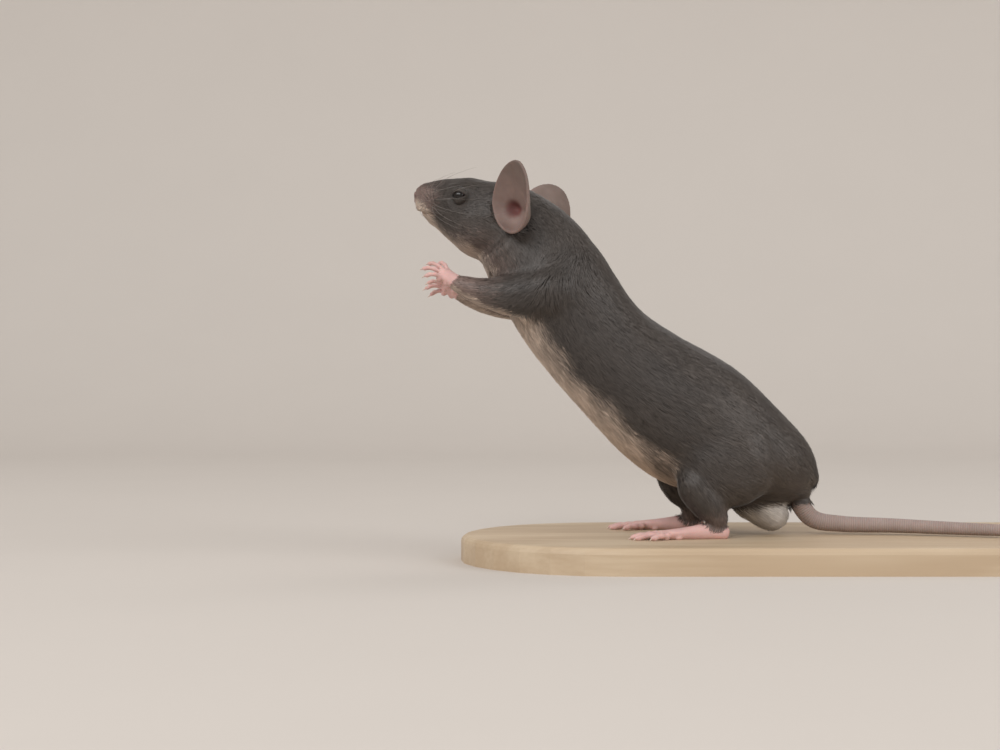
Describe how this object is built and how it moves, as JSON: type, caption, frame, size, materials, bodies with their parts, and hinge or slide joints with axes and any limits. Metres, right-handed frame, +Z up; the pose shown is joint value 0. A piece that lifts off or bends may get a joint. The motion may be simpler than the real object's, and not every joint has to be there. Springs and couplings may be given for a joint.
{
  "type": "house mouse figure",
  "caption": "Life-size dark house mouse rearing up on its hind feet and reaching forward with nose and forepaws, tail laid behind it, on a plain flat wooden base.",
  "frame": {"origin": "middle of the base's flat underside", "axes": "+Z up; the mouse's nose points to -X and its tail to +X; its left side faces -Y"},
  "size_m": [0.1553, 0.058, 0.0757],
  "materials": {
    "coat": "short sleek dark grey-brown fur, buff underneath",
    "pouch_fur": "short pale grey fur with darker streaks",
    "bare_skin": "soft pale pink skin",
    "ear_skin": "thin pinkish brown skin with sparse fine hair",
    "tail_skin": "ringed scaly skin with sparse fine hair",
    "eye": "glossy black",
    "wood": "plain pale wood, satin"
  },
  "bodies": {
    "root": {"head": "coat", "neck": "coat", "chest": "coat", "trunk": "coat", "hips": "coat", "foreleg_left": "coat", "foreleg_right": "coat", "hindleg_left": "coat", "hindleg_right": "coat", "scrotum": "pouch_fur", "forepaw_left": "bare_skin", "forepaw_right": "bare_skin", "hindpaw_left": "bare_skin", "hindpaw_right": "bare_skin", "ear_left": "ear_skin", "ear_right": "ear_skin", "tail_root": "tail_skin", "tail_middle": "tail_skin", "tail_tip": "tail_skin", "eye_left": "eye", "eye_right": "eye", "stand_base": "wood"}
  },
  "joints": []
}
